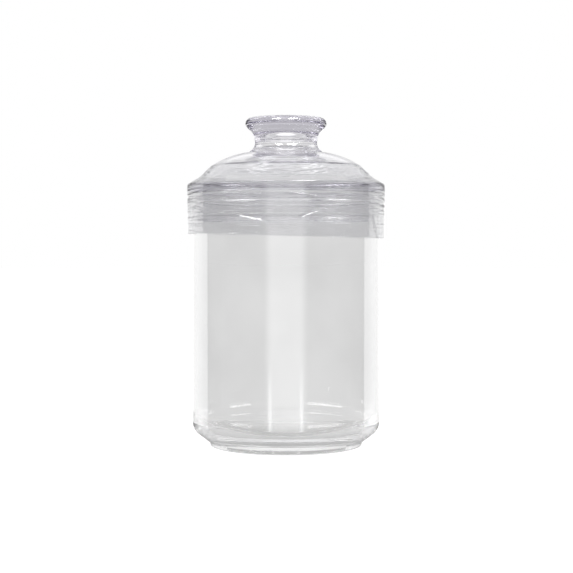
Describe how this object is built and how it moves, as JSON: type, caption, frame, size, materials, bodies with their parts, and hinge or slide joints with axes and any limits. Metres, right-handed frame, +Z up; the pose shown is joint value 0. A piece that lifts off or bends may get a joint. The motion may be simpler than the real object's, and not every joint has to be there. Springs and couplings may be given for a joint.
{
  "type": "apothecary jar",
  "caption": "Clear moulded cylindrical storage jar with a narrower foot, a domed plug lid with a spool knob, a seal ring and a clear film shrunk over the edge of the closed lid.",
  "frame": {"origin": "centre of the foot's resting face", "axes": "+Z up along the jar's axis, through the knob; the jar is round, so X and Y are alike"},
  "size_m": [0.109, 0.109, 0.1796],
  "materials": {
    "clear_plastic": "polished clear moulded plastic with a faint violet-grey cast in thick sections",
    "clear_seal": "clear flexible ring, slightly milky",
    "clear_film": "thin clear film with shrink wrinkles"
  },
  "bodies": {
    "jar": {"jar_body": "clear_plastic"},
    "seal": {"seal_ring": "clear_seal"},
    "lid": {"lid": "clear_plastic", "knob": "clear_plastic", "shrink_band": "clear_film"}
  },
  "joints": [
    {"name": "lid_lift", "type": "slide", "parent": "jar", "child": "seal", "axis": [0, 0, 1], "range_m": [0, 0.06]},
    {"name": "lid_spin", "type": "hinge", "parent": "seal", "child": "lid", "pos_m": [0, 0, 0.138], "axis": [0, 0, 1], "continuous": true}
  ]
}
